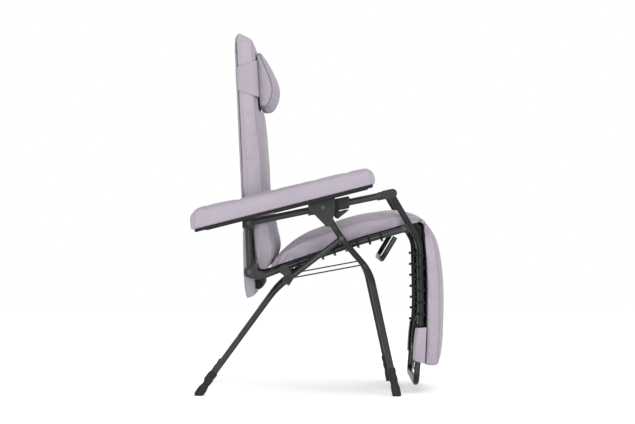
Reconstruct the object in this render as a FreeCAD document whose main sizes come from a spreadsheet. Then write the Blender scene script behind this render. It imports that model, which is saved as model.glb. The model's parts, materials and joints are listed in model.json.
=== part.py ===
"""Folding recliner chair with scissor legs, linked back and leg rest, sliding armrests and cushions.

The sitter faces -Y and +Z is up. Side outlines are written as (forward, up) pairs in millimetres, where
forward is -Y, and across is X. The origin is on the floor, at the middle of the chair.
"""
import FreeCAD, Part
import Sketcher
import os
from math import acos, atan2, cos, degrees, hypot, radians, sin, tan

from FreeCAD import Placement, Rotation, Vector

os.makedirs("parts", exist_ok=True)
doc = FreeCAD.newDocument("recliner")
sheet = doc.addObject("Spreadsheet::Sheet", "Sizes")

# ---------------------------------------------------------------- driving dimensions

LENGTHS = {
    # tubes: outside diameters and walls
    "front_leg_tube": 20, "rear_leg_tube": 18, "rail_tube": 20, "back_tube": 22, "arm_tube": 22,
    "rest_tube": 20, "cross_tube": 16, "tube_wall": 1.5, "rod_wire": 4.5,
    # centre planes of the side frames, measured from the middle of the chair
    "front_leg_across": 306, "rear_leg_across": 284, "rail_across": 258, "arm_across": 262,
    "back_across": 232, "rest_across": 236, "rod_across": 271.5,
    # pins and their running clearance
    "bolt_shaft": 8, "bolt_head": 15, "stud_shaft": 5, "rod_stud_shaft": 6, "running_gap": 0.1,
    # bent tubes that span the chair
    "back_frame_length": 737, "back_frame_bend": 70, "knee_bar_drop": 84, "knee_bar_bend": 28,
    "knee_bar_across": 250, "rest_bend": 30,
    # half widths of slings and cushions
    "seat_half": 222, "back_half": 246, "back_low_half": 222, "flap_half": 218, "leg_half": 245,
    "pillow_half": 190, "sling_half": 206, "leg_sling_half": 186, "strap_half": 19, "buckle_half": 25,
    "back_strap_half": 200, "band_gap": 0.6, "band_cloth": 3, "sling_cloth": 3,
    # elastic lacing
    "lace_cord": 3.6, "seat_lace_eye": 213, "leg_lace_eye": 193, "lace_pitch": 38,
    # feet
    "foot_length": 92, "foot_bulge": 29, "foot_wall": 3.2,
    # play that lets each arm tube slide in its carrier, and the board under the arm pad
    "arm_slip": 5.2, "arm_board": 10,
}

# inner and outer face of each piece at the chair's left side; the right side mirrors them
SPANS = {
    "clamp": (274.1, 296), "knuckle": (275.3, 297), "seat_pin": (268.6, 276), "rod_pin": (268.6, 276),
    "hook": (267.3, 273.4), "elbow": (249, 267), "rest_boss": (228, 244), "arm_block": (248.5, 275.5),
    "arm_knuckle": (248.5, 275), "knuckle_recess": (248, 267), "knuckle_stud": (244, 265),
    "stud_washer": (245.5, 248), "carrier_top": (247.3, 323.8), "carrier_wall": (247.3, 250.6),
    "carrier_core": (273.5, 295.4), "carrier_cheek": (316.8, 323.8), "lock_sleeve": (247.3, 276.6),
    "sleeve_channel": (250.6, 273.4), "sleeve_ear_inner": (250.6, 255.4), "sleeve_ear_outer": (268.6, 273.4),
    "lever": (255.8, 268.2), "lever_pin": (250.6, 273.4), "pad": (280, 380), "board": (284, 372),
    "rod_ring": (269.2, 273.8),
}

# side positions (forward, up)
POINTS = {
    "leg_pivot": (76.3, 504.7), "arm_pivot": (17.56, 604.58), "seat_pivot": (-107.4, 404.0),
    "back_pivot": (-218.6, 396.5), "arm_rear": (-222.5, 555.5), "arm_front": (238.3, 649.7),
    "rest_pivot": (277.3, 535.2), "rod_front": (148.9, 420.6), "rod_rear": (-73.4, 384.8),
    "front_knee": (168.3, 398.0), "front_foot": (255.0, 0.0), "rear_knee": (-134.0, 343.0),
    "rear_foot": (-385.0, 0.0), "front_cross": (124.3, 449.0), "rear_cross": (-272.3, 154.0),
    "rail_front": (288.0, 537.0), "rail_middle": (121.0, 489.0), "rail_low": (-56.0, 429.0),
    "rail_rear": (-168.0, 386.5), "rest_knee": (332.0, 488.0), "rest_shin": (337.0, 271.0),
    "rest_end": (321.6, 70.1), "rest_cross": (319.1, 38.0), "knee_bar_low": (208.0, 437.0),
    "lever_pivot": (62.0, 584.3), "pad_rear": (-396.0, 533.8),
}

# side tubes that a hole is drilled through
DRILLED = ("front_leg", "rear_leg", "rail", "back")

BACK_LEAN = 2.4
KNEE_BAR_LEAN = -31.0
PAD_SLOPE = 0.2525
SIDES = {"left": 1, "right": -1}

cells = dict(LENGTHS)
for word, (inner, outer) in SPANS.items():
    cells[word + "_inner_face"] = inner
    cells[word + "_outer_face"] = outer
for word, (forward, up) in POINTS.items():
    cells[word + "_forward"] = forward
    cells[word + "_up"] = up
for word in DRILLED:
    cells[word + "_inner_face"] = f"={word}_across - ({word}_tube / 2 + 1)"
    cells[word + "_outer_face"] = f"={word}_across + ({word}_tube / 2 + 1)"
for row, (word, value) in enumerate(cells.items(), start=1):
    sheet.set(f"A{row}", word)
    sheet.set(f"B{row}", str(value))
    sheet.setAlias(f"B{row}", word)
doc.recompute()


def size(word):
    return float(sheet.get(word))


def point(word):
    return size(word + "_forward"), size(word + "_up")


def between(start, end, share):
    return start[0] + (end[0] - start[0]) * share, start[1] + (end[1] - start[1]) * share


def beyond(start, end, distance):
    """The point that lies past end, on the line from start."""
    return between(start, end, 1 + distance / hypot(end[0] - start[0], end[1] - start[1]))


# ---------------------------------------------------------------- sketches and features

def origin_plane(body, role):
    return next(f for f in body.Origin.OriginFeatures if f.Role == role)


def new_body(name):
    body = doc.addObject("PartDesign::Body", name)
    body.Label = name
    doc.recompute()
    return body


def side_sketch(body, across):
    """A sketch on the side plane; across is the expression of its distance from the middle."""
    sketch = body.newObject("Sketcher::SketchObject", body.Name + "_side")
    sketch.AttachmentSupport = (origin_plane(body, "YZ_Plane"), [""])
    sketch.MapMode = "FlatFace"
    sketch.setExpression(".AttachmentOffset.Base.z", across)
    return sketch


def rounded(corners, closed):
    """Lines and arcs through corners (x, y[, radius]) of a sketch."""
    spots = [Vector(c[0], c[1], 0) for c in corners]
    radii = [c[2] if len(c) > 2 else 0 for c in corners]
    count = len(corners)
    starts, ends, arcs = list(spots), list(spots), {}
    for i, radius in enumerate(radii):
        if not radius or not (closed or 0 < i < count - 1):
            continue
        before = (spots[i - 1] - spots[i]).normalize()
        after = (spots[(i + 1) % count] - spots[i]).normalize()
        half = before.getAngle(after) / 2
        inward = (before + after).normalize()
        starts[i] = spots[i] + before * (radius / tan(half))
        ends[i] = spots[i] + after * (radius / tan(half))
        middle = spots[i] + inward * (radius / sin(half) - radius)
        arcs[i] = Part.Arc(starts[i], middle, ends[i])
    shapes = []
    for i in range(count):
        if i in arcs:
            shapes.append(arcs[i])
        if i < count - 1 or closed:
            following = starts[(i + 1) % count]
            if (following - ends[i]).Length > 1e-4:
                shapes.append(Part.LineSegment(ends[i], following))
    return shapes


def mirrored(corners):
    """Side corners (forward, up[, radius]) in the sketch's own axes, where x runs backwards."""
    return [(-c[0],) + tuple(c[1:]) for c in corners]


def span_start(word, sign):
    return f"Sizes.{word}_inner_face" if sign > 0 else f"-Sizes.{word}_outer_face"


def span_width(word):
    return f"Sizes.{word}_outer_face - Sizes.{word}_inner_face"


def extrude(body, kind, sketch, width):
    feature = body.newObject(kind, body.Name + "_slab")
    feature.Profile = sketch
    feature.setExpression("Length", width)
    if kind == "PartDesign::Pocket":
        feature.Reversed = True
    doc.recompute()
    return feature


def slab(body, corners, word, sign, kind="PartDesign::Pad"):
    """A side outline, as thick as the named span, added to the body."""
    sketch = side_sketch(body, span_start(word, sign))
    for shape in rounded(mirrored(corners), True):
        sketch.addGeometry(shape)
    return extrude(body, kind, sketch, span_width(word))


def wide_slab(body, corners, half, kind="PartDesign::Pad"):
    """A side outline that runs across the chair; half is the expression of its half width."""
    sketch = side_sketch(body, f"-({half})")
    for shape in rounded(mirrored(corners), True):
        sketch.addGeometry(shape)
    return extrude(body, kind, sketch, f"2 * ({half})")


def disc(body, centre, diameter, word, sign, kind="PartDesign::Pad"):
    sketch = side_sketch(body, span_start(word, sign))
    circle = sketch.addGeometry(Part.Circle(Vector(-centre[0], centre[1], 0), Vector(0, 0, 1), 1))
    bind_diameter(sketch, circle, diameter)
    return extrude(body, kind, sketch, span_width(word))


def bind_diameter(sketch, circle, expression):
    number = sketch.addConstraint(Sketcher.Constraint("Diameter", circle, 2.0))
    sketch.setExpression(f"Constraints[{number}]", expression)


def cut(body, feature):
    """Checks that a cut removed some material."""
    if feature.Shape.Volume > feature.BaseFeature.Shape.Volume - 1e-3:
        raise RuntimeError(f"{body.Name}: {feature.Name} removes nothing")
    return feature


def pocket(body, corners, word, sign):
    return cut(body, slab(body, corners, word, sign, "PartDesign::Pocket"))


def wide_pocket(body, corners, half):
    return cut(body, wide_slab(body, corners, half, "PartDesign::Pocket"))


def bore(body, centre, diameter, word, sign):
    return cut(body, disc(body, centre, diameter, word, sign, "PartDesign::Pocket"))


def pipe(body, path, diameter, wall="", kind="PartDesign::AdditivePipe"):
    """A round tube along a path sketch; with no wall it is solid."""
    section = body.newObject("Sketcher::SketchObject", body.Name + "_section")
    section.AttachmentSupport = [(path, "Edge1")]
    section.MapMode = "NormalToEdge"
    section.MapPathParameter = 0.0
    circle = section.addGeometry(Part.Circle(Vector(0, 0, 0), Vector(0, 0, 1), 1))
    bind_diameter(section, circle, diameter)
    if wall:
        circle = section.addGeometry(Part.Circle(Vector(0, 0, 0), Vector(0, 0, 1), 0.5))
        bind_diameter(section, circle, f"{diameter} - 2 * {wall}")
    doc.recompute()
    tube = body.newObject(kind, body.Name + "_tube")
    tube.Profile = section
    tube.Spine = path
    doc.recompute()
    return tube


def side_path(body, corners, across):
    path = side_sketch(body, across)
    for shape in rounded(mirrored(corners), False):
        path.addGeometry(shape)
    doc.recompute()
    return path


def side_tube(name, corners, diameter, across, wall="Sizes.tube_wall"):
    body = new_body(name)
    pipe(body, side_path(body, corners, across), diameter, wall)
    return body


def leaning_tube(name, corners, base, lean, diameter, wall="Sizes.tube_wall"):
    """A tube that spans the chair, in a plane through base that leans back by lean degrees."""
    body = new_body(name)
    path = body.newObject("Sketcher::SketchObject", name + "_path")
    path.AttachmentSupport = (origin_plane(body, "XZ_Plane"), [""])
    path.MapMode = "FlatFace"
    path.AttachmentOffset = Placement(Vector(0, base[1], base[0]), Rotation(Vector(1, 0, 0), -lean))
    for shape in rounded(corners, False):
        path.addGeometry(shape)
    doc.recompute()
    pipe(body, path, diameter, wall)
    return body


def hoop(half, height, bend):
    """Corners of a bar across the chair whose ends are bent upwards."""
    return [(-half, height), (-half, 0, bend), (half, 0, bend), (half, height)]


def cross_tube(name, place, half, diameter="Sizes.cross_tube"):
    """A straight tube across the chair."""
    body = new_body(name)
    sketch = side_sketch(body, f"-({half})")
    centre = Vector(-place[0], place[1], 0)
    bind_diameter(sketch, sketch.addGeometry(Part.Circle(centre, Vector(0, 0, 1), 1)), diameter)
    inner = sketch.addGeometry(Part.Circle(centre, Vector(0, 0, 1), 0.5))
    bind_diameter(sketch, inner, f"{diameter} - 2 * Sizes.tube_wall")
    extrude(body, "PartDesign::Pad", sketch, f"2 * ({half})")
    return body


def lathe(name, steps):
    """Round pins across the chair on both sides: steps are (centre, radius, inner face, outer face)."""
    solids = []
    for sign in SIDES.values():
        for stack in steps:
            pin = None
            for (forward, up), radius, inner, outer in stack:
                low = inner if sign > 0 else -outer
                part = Part.makeCylinder(radius, outer - inner, Vector(low, -forward, up), Vector(1, 0, 0))
                pin = part if pin is None else pin.fuse(part).removeSplitter()
            solids.append(pin)
    feature = doc.addObject("Part::Feature", name)
    feature.Label = name
    feature.Shape = Part.makeCompound(solids)
    return feature


def less(name, base, tools):
    """base with the tools' volumes taken out."""
    for number, tool in enumerate(tools):
        result = doc.addObject("Part::Cut", f"{name}_less_{number}")
        result.Base, result.Tool = base, tool
        doc.recompute()
        base = result
    base.Label = name
    return base


def side_value(sign, word):
    return f"{sign} * Sizes.{word}"


nodes = {}


def keep(name, item):
    nodes[name] = item
    return item


# ---------------------------------------------------------------- legs

# height of the leg's end above the sole, along the leg
FOOT_DEPTH = 20


def foot(name, ankle, sole, sign, across, tube):
    """A rubber cup on the leg's end: bulging toe, waist and two swellings, cut flat where it stands."""
    body = new_body(name + "_cup")
    half_tube, bulge, length = size(tube) / 2, size("foot_bulge") / 2, size("foot_length")
    collar = half_tube + size("foot_wall")
    waist = collar - 1.4
    profile = [(0, -6), (bulge - 5, -6, 6), (bulge, 3, 8), (bulge, 27, 8), (waist, 44, 8), (collar, 53, 4),
               (collar, 63, 4), (waist, 71, 5), (collar, 79, 4), (collar, length, 3), (half_tube, length),
               (half_tube, FOOT_DEPTH), (0, FOOT_DEPTH)]
    sketch = body.newObject("Sketcher::SketchObject", name + "_profile")
    sketch.AttachmentSupport = (origin_plane(body, "XZ_Plane"), [""])
    sketch.MapMode = "FlatFace"
    for shape in rounded(profile, True):
        sketch.addGeometry(shape)
    doc.recompute()
    turned = body.newObject("PartDesign::Revolution", name + "_turned")
    turned.Profile = sketch
    turned.ReferenceAxis = (sketch, ["V_Axis"])
    turned.Angle = 360
    doc.recompute()
    lean = degrees(atan2(sole[0] - ankle[0], ankle[1] - sole[1]))
    stance = Vector(sign * size(across), -sole[0], sole[1])
    body.Placement = Placement(stance, Rotation(Vector(1, 0, 0), -lean))
    floor = doc.addObject("Part::Box", name + "_floor")
    floor.Length = 80
    floor.Width = 80
    floor.Height = 40
    corner = Vector(-floor.Length.Value / 2, -floor.Width.Value / 2, -floor.Height.Value)
    floor.Placement.Base = Vector(stance.x, stance.y, 0) + corner
    return less(name, body, [floor])


def make_legs():
    pivot, arm = point("leg_pivot"), point("arm_pivot")
    knee, sole, rod = point("front_knee"), point("front_foot"), point("rod_front")
    rear_knee, rear_sole = point("rear_knee"), point("rear_foot")
    inset = -FOOT_DEPTH - 1
    loose = "Sizes.bolt_shaft + Sizes.running_gap"
    for side, sign in SIDES.items():
        across = side_value(sign, "front_leg_across")
        path = [beyond(pivot, arm, 9), (*pivot, 400), (*knee, 150), beyond(knee, sole, inset)]
        leg = side_tube(f"front_leg_{side}", path, "Sizes.front_leg_tube", across)
        bore(leg, arm, "Sizes.bolt_shaft", "front_leg", sign)
        bore(leg, pivot, "Sizes.bolt_shaft", "front_leg", sign)
        bore(leg, rod, "Sizes.rod_stud_shaft", "front_leg", sign)
        keep(f"front_leg_{side}", leg)
        name = f"front_foot_{side}"
        keep(name, foot(name, knee, sole, sign, "front_leg_across", "front_leg_tube"))
        across = side_value(sign, "rear_leg_across")
        path = [beyond(rear_knee, pivot, 12), (*rear_knee, 260), beyond(rear_knee, rear_sole, inset)]
        leg = side_tube(f"rear_leg_{side}", path, "Sizes.rear_leg_tube", across)
        bore(leg, pivot, loose, "rear_leg", sign)
        keep(f"rear_leg_{side}", leg)
        name = f"rear_foot_{side}"
        keep(name, foot(name, rear_knee, rear_sole, sign, "rear_leg_across", "rear_leg_tube"))
        keep(f"leg_clamp_{side}", clamp(side, sign, path))
    keep("front_crossbar", cross_tube("front_crossbar", point("front_cross"),
                                      "Sizes.front_leg_across - Sizes.front_leg_tube / 2"))
    keep("rear_crossbar", cross_tube("rear_crossbar", point("rear_cross"),
                                     "Sizes.rear_leg_across - Sizes.rear_leg_tube / 2"))
    shaft, head = size("bolt_shaft") / 2, size("bolt_head") / 2
    stud = size("rod_stud_shaft") / 2
    keep("leg_bolts", lathe("leg_bolts", [
        [(pivot, head, 272.5, 274.6), (pivot, shaft, 274.6, 316.2), (pivot, head, 316.2, 320.5)],
        [(arm, shaft, 284, 324.2), (arm, head, 324.2, 329)],
    ]))
    keep("rod_studs", lathe("rod_studs", [[(rod, stud + 2.6, 265.5, 268.9), (rod, stud, 268.9, 315.4)]]))


def clamp(side, sign, leg_path):
    """Moulded clamp on the rear leg with the rounded knuckle that carries the seat."""
    body = new_body(f"leg_clamp_{side}")
    slab(body, [(-125, 411, 12), (-101, 425, 14), (-84, 397, 5), (-98, 380, 4), (-112, 388, 8)],
         "knuckle", sign)
    slab(body, [(-95, 403, 4), (-71, 385, 4), (-92, 352, 4), (-115, 371, 4)], "clamp", sign)
    path = side_path(body, leg_path, side_value(sign, "rear_leg_across"))
    pipe(body, path, "Sizes.rear_leg_tube", "", "PartDesign::SubtractivePipe")
    disc(body, point("seat_pivot"), "Sizes.bolt_shaft", "seat_pin", sign)
    disc(body, point("rod_rear"), "Sizes.stud_shaft", "rod_pin", sign)
    return body


def make_rods():
    """Each rod turns on a stud of the front leg and hooks over a stud of the rear leg's clamp."""
    front, rear = point("rod_front"), point("rod_rear")
    wire = size("rod_wire") / 2
    curl = size("stud_shaft") / 2 + wire + 0.5
    reach = hypot(front[0] - rear[0], front[1] - rear[1])
    toward = atan2(front[1] - rear[1], front[0] - rear[0])
    start = toward - acos(curl / reach)
    end = radians(-230)

    def on_curl(angle):
        return Vector(-(rear[0] + curl * cos(angle)), rear[1] + curl * sin(angle), 0)

    for side, sign in SIDES.items():
        body = new_body(f"spreader_rod_{side}")
        path = side_sketch(body, side_value(sign, "rod_across"))
        eye = beyond((-on_curl(start).x, on_curl(start).y), front, -5)
        path.addGeometry(Part.LineSegment(Vector(-eye[0], eye[1], 0), on_curl(start)))
        path.addGeometry(Part.Arc(on_curl(start), on_curl((start + end) / 2), on_curl(end)))
        doc.recompute()
        pipe(body, path, "Sizes.rod_wire")
        disc(body, front, "Sizes.rod_stud_shaft + 9", "rod_ring", sign)
        bore(body, front, "Sizes.rod_stud_shaft + Sizes.running_gap", "rod_ring", sign)
        keep(f"spreader_rod_{side}", body)


# ---------------------------------------------------------------- seat

def rail_height(forward):
    """Height of the seat rail's centre line."""
    spots = [point(word) for word in ("rail_rear", "rail_low", "rail_middle", "rail_front")]
    for start, end in zip(spots, spots[1:]):
        if forward <= end[0]:
            break
    return start[1] + (end[1] - start[1]) * (forward - start[0]) / (end[0] - start[0])


def ribbon(spots, ahead, above):
    """Outline of a strip between the spots and the same spots moved ahead and above."""
    return spots + [(forward + ahead, up + above) for forward, up in reversed(spots)]


def lacing(name, spots, tube, across, eye):
    """Cord loops from the sling's edge round the tube, one at each (forward, up, slope)."""
    cord = size("lace_cord") / 2
    big, small = size(tube) / 2 + cord + 0.8, cord + 1.4
    far, near = size(across), size(eye)
    lean = acos((big - small) / (far - near))
    top, bottom = radians(180) - lean, lean - radians(180)

    def ring(sign, radius, centre, angle):
        return Vector(sign * (centre + radius * cos(angle)), 0, radius * sin(angle))

    loops = []
    for sign in SIDES.values():
        start, back = ring(sign, big, far, top), ring(sign, big, far, bottom)
        inner_back, inner_start = ring(sign, small, near, bottom), ring(sign, small, near, top)
        wire = Part.Wire([
            Part.Arc(start, ring(sign, big, far, 0), back).toShape(),
            Part.LineSegment(back, inner_back).toShape(),
            Part.Arc(inner_back, ring(sign, small, near, radians(180)), inner_start).toShape(),
            Part.LineSegment(inner_start, start).toShape(),
        ])
        along = wire.Edges[0].tangentAt(wire.Edges[0].FirstParameter)
        section = Part.Wire([Part.Circle(start, along, cord).toShape()])
        for forward, up, slope in spots:
            loop = wire.makePipeShell([section], True, False)
            loop.Placement = Placement(Vector(0, -forward, up), Rotation(Vector(1, 0, 0), -degrees(slope)))
            loops.append(loop)
    feature = doc.addObject("Part::Feature", name)
    feature.Label = name
    feature.Shape = Part.makeCompound(loops)
    return feature


def make_seat():
    pivot, back, rest = point("seat_pivot"), point("back_pivot"), point("rest_pivot")
    front, middle, low, rear = (point("rail_" + w) for w in ("front", "middle", "low", "rear"))
    for side, sign in SIDES.items():
        rail = side_tube(f"seat_rail_{side}", [front, (*middle, 900), (*low, 900), rear], "Sizes.rail_tube",
                         side_value(sign, "rail_across"))
        # the hook that rests on the rear leg's pin, open downwards so that the pin can leave it
        slab(rail, [(-122, 411, 6), (-94, 421, 6), (-88, 395, 7), (-104, 386, 5), (-122, 393, 9)],
             "hook", sign)
        bore(rail, pivot, "Sizes.bolt_shaft + 0.6", "hook", sign)
        pocket(rail, [(-111.2, 402.4), (-103.6, 405.8), (-88, 386), (-92, 378), (-108, 378)], "hook", sign)
        bore(rail, rest, "Sizes.bolt_shaft", "rail", sign)
        keep(f"seat_rail_{side}", rail)
        elbow = new_body(f"rail_elbow_{side}")
        slab(elbow, [(-237, 382, 15), (-237, 414, 15), (-204, 414, 10), (-190, 400, 16), (-171.9, 396.6),
                     (-164.5, 376.9), (-196, 372, 30)], "elbow", sign)
        bore(elbow, back, "Sizes.bolt_shaft", "elbow", sign)
        keep(f"rail_elbow_{side}", elbow)
    bar = hoop(size("knee_bar_across"), size("knee_bar_drop"), size("knee_bar_bend"))
    keep("knee_bar", leaning_tube("knee_bar", bar, point("knee_bar_low"), KNEE_BAR_LEAN, "Sizes.cross_tube"))
    shaft, head = size("bolt_shaft") / 2, size("bolt_head") / 2
    keep("seat_bolts", lathe("seat_bolts", [
        [(back, shaft, 221.5, 243.3), (back, head, 243.3, 249), (back, shaft, 249, 267),
         (back, head, 267, 271)],
        [(rest, shaft, 226.5, 246.3), (rest, head, 246.3, 247.8), (rest, shaft, 247.8, 268.2),
         (rest, head, 268.2, 272.5)],
    ]))
    sling_spots = [(f, rail_height(f) + 10) for f in (-146, -56, 32, 121, 190, 258)]
    sling = new_body("seat_sling")
    wide_slab(sling, ribbon(sling_spots, 0, -size("sling_cloth")), "Sizes.sling_half")
    keep("seat_sling", sling)
    pitch = size("lace_pitch")
    laces = []
    for number in range(8):
        forward = -62 + number * pitch
        slope = (rail_height(forward + 5) - rail_height(forward - 5)) / 10
        laces.append((forward, rail_height(forward), atan2(slope, 1)))
    keep("seat_lacing", lacing("seat_lacing", laces, "rail_tube", "rail_across", "seat_lace_eye"))
    cushion = new_body("seat_cushion")
    wide_slab(cushion, [(-145, rail_height(-145) + 11, 8), (-56, 440.4), (121, 500.4), (281, 546, 6),
                        (297, 594, 12), (240, 593, 400), (160, 585, 400), (59, 548, 400), (-42, 494, 200),
                        (-114, 443, 12)], "Sizes.seat_half")
    keep("seat_cushion", cushion)


# ---------------------------------------------------------------- back

def make_back():
    base, arm = point("back_pivot"), point("arm_rear")
    half, length, bend = size("back_across"), size("back_frame_length"), size("back_frame_bend")
    corners = [(-half, -12), (-half, length, bend), (half, length, bend), (half, -12)]
    frame = leaning_tube("back_frame", corners, base, BACK_LEAN, "Sizes.back_tube")
    for sign in SIDES.values():
        bore(frame, base, "Sizes.bolt_shaft + Sizes.running_gap", "back", sign)
        bore(frame, arm, "Sizes.bolt_shaft", "back", sign)
    keep("back_frame", frame)
    channel = leaning_tube("back_frame_core", corners, base, BACK_LEAN, "Sizes.back_tube", "")
    cover_top, cover_low = (-268, 1150), (-243.5, 613)
    cushion = new_body("back_cushion_block")
    wide_slab(cushion, [(-238.8, 604, 4), (-263.3, 1150, 8), (-257, 1171, 8), (-212, 1141, 16),
                        (-199.5, 1090), (-193, 900, 200), (-163, 800, 300), (-143, 630, 60), (-150, 604)],
              "Sizes.back_half")
    wide_slab(cushion, [(-192, 604), (-150, 604), (-143, 600, 10), (-124, 450, 12), (-160, 403, 5),
                        (-178, 403, 8), (-196, 540, 300)], "Sizes.back_low_half")
    keep("back_cushion", less("back_cushion", cushion, [channel]))
    cover = new_body("back_cover")
    wide_slab(cover, [cover_low, (*cover_top, 3), (cover_top[0] + 4, cover_top[1]),
                      (cover_low[0] + 4, 604), (cover_low[0], 604)], "Sizes.back_half")
    wide_slab(cover, [(-243.5, 613), (-239.8, 613), (-239.3, 604), (-228, 560), (-216, 470), (-210, 390, 30),
                      (-201, 318, 8), (-229, 306, 6), (-239, 379, 200), (-240, 500, 200)], "Sizes.flap_half")
    keep("back_cover", cover)
    strap = new_body("back_strap")
    wide_slab(strap, [(-207.2, 372), (-183, 376, 8), (-174, 354, 10), (-190, 333, 8), (-202.9, 338)],
              "Sizes.back_strap_half")
    keep("back_strap", strap)
    shaft, head = size("bolt_shaft") / 2, size("bolt_head") / 2
    keep("arm_hinge_bolts", lathe("arm_hinge_bolts", [
        [(arm, shaft, 221.5, 243.2), (arm, head, 243.2, 248.1), (arm, shaft, 248.1, 275.9),
         (arm, head, 275.9, 279)],
    ]))


def make_headrest():
    pillow = new_body("headrest_pillow")
    wide_slab(pillow, [(-188.8, 1112, 6), (-176, 1104, 14), (-146, 1046, 120), (-122, 986, 40),
                       (-124, 936, 24), (-158, 912, 16), (-188.8, 924, 16)], "Sizes.pillow_half")
    keep("headrest_pillow", pillow)
    band = new_body("headrest_band")
    cloth = size("band_cloth")
    rear = [(-260.8 - cloth, 984), (-264.2 - cloth, 1057)]
    wide_slab(band, rear + [(-189.4, 1082), (-189.4, 961)],
              "Sizes.back_half + Sizes.band_gap + Sizes.band_cloth")
    wide_pocket(band, [(-260.4, 980), (-264.6, 1070), (-192, 1092), (-192, 950)],
                "Sizes.back_half + Sizes.band_gap")
    keep("headrest_band", band)


# ---------------------------------------------------------------- leg rest

def make_leg_rest():
    arm, knee, shin, end = (point(w) for w in ("arm_front", "rest_knee", "rest_shin", "rest_end"))
    pivot, cross = point("rest_pivot"), point("rest_cross")
    for side, sign in SIDES.items():
        tube = side_tube(f"leg_rest_tube_{side}", [beyond(knee, arm, 8), (*knee, 90), (*shin, 900), end],
                         "Sizes.rest_tube", side_value(sign, "rest_across"))
        slab(tube, [(264, 527, 10), (270, 549, 10), (296, 552), (307, 531), (290, 520, 8)],
             "rest_boss", sign)
        bore(tube, pivot, "Sizes.bolt_shaft + Sizes.running_gap", "rest_boss", sign)
        disc(tube, arm, "Sizes.bolt_shaft + 12", "stud_washer", sign)
        disc(tube, arm, "Sizes.bolt_shaft", "knuckle_stud", sign)
        keep(f"leg_rest_tube_{side}", tube)
    bar = hoop(size("rest_across"), hypot(end[0] - cross[0], end[1] - cross[1]), size("rest_bend"))
    lean = degrees(atan2(cross[0] - end[0], end[1] - cross[1]))
    keep("leg_rest_crossbar", leaning_tube("leg_rest_crossbar", bar, cross, lean, "Sizes.rest_tube"))
    spots = [(341, 470), (346.5, 380), (347.5, 271), (340, 170), (333, 78)]
    sling = new_body("leg_sling")
    wide_slab(sling, ribbon(spots, -size("sling_cloth"), 0), "Sizes.leg_sling_half")
    keep("leg_sling", sling)
    pitch = size("lace_pitch")
    laces = []
    for number in range(7):
        up = 449 - number * pitch
        top, bottom = (knee, shin) if up > shin[1] else (shin, end)
        share = (top[1] - up) / (top[1] - bottom[1])
        forward = between(top, bottom, share)[0]
        laces.append((forward, up, atan2(top[1] - bottom[1], top[0] - bottom[0])))
    keep("leg_lacing", lacing("leg_lacing", laces, "rest_tube", "rest_across", "leg_lace_eye"))
    cushion = new_body("leg_cushion")
    wide_slab(cushion, [(346, 93, 12), (396, 93, 16), (411, 285, 900), (408, 380, 400), (398, 468, 200),
                        (384, 524, 60), (362, 560, 30), (345, 566, 5), (341, 540, 8), (351, 480, 200),
                        (353.5, 285, 900)], "Sizes.leg_half")
    keep("leg_cushion", cushion)
    band = new_body("leg_band")
    wide_slab(band, [(309, 101), (318, 217), (350, 217), (344, 101)],
              "Sizes.leg_half + 2 * Sizes.band_gap + Sizes.band_cloth")
    wide_pocket(band, [(311, 90), (321.8, 230), (360, 230), (360, 90)],
                "Sizes.leg_half + 2 * Sizes.band_gap")
    keep("leg_band", band)
    strap = new_body("leg_strap")
    wide_slab(strap, [(313, 232), (316, 232), (308.6, 130), (309, 34), (306.4, 34), (306, 130)],
              "Sizes.strap_half")
    keep("leg_strap", strap)
    buckle = new_body("strap_buckle")
    wide_slab(buckle, [(305.8, 150, 2), (308.6, 184, 2), (303, 184, 2), (300, 150, 2)], "Sizes.buckle_half")
    keep("strap_buckle", buckle)


# ---------------------------------------------------------------- arms

def arm_line(forward, offset=0):
    """A point beside the arm tube's axis, offset square to it."""
    rear, front = point("arm_rear"), point("arm_front")
    slope = (front[1] - rear[1]) / (front[0] - rear[0])
    return forward, rear[1] + (forward - rear[0]) * slope + offset * hypot(1, slope)


def pad_line(forward, drop=0):
    """The underside of the arm pad, which rises to the front more steeply than the tube."""
    rear = point("pad_rear")
    return forward, rear[1] + (forward - rear[0]) * PAD_SLOPE - drop


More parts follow.
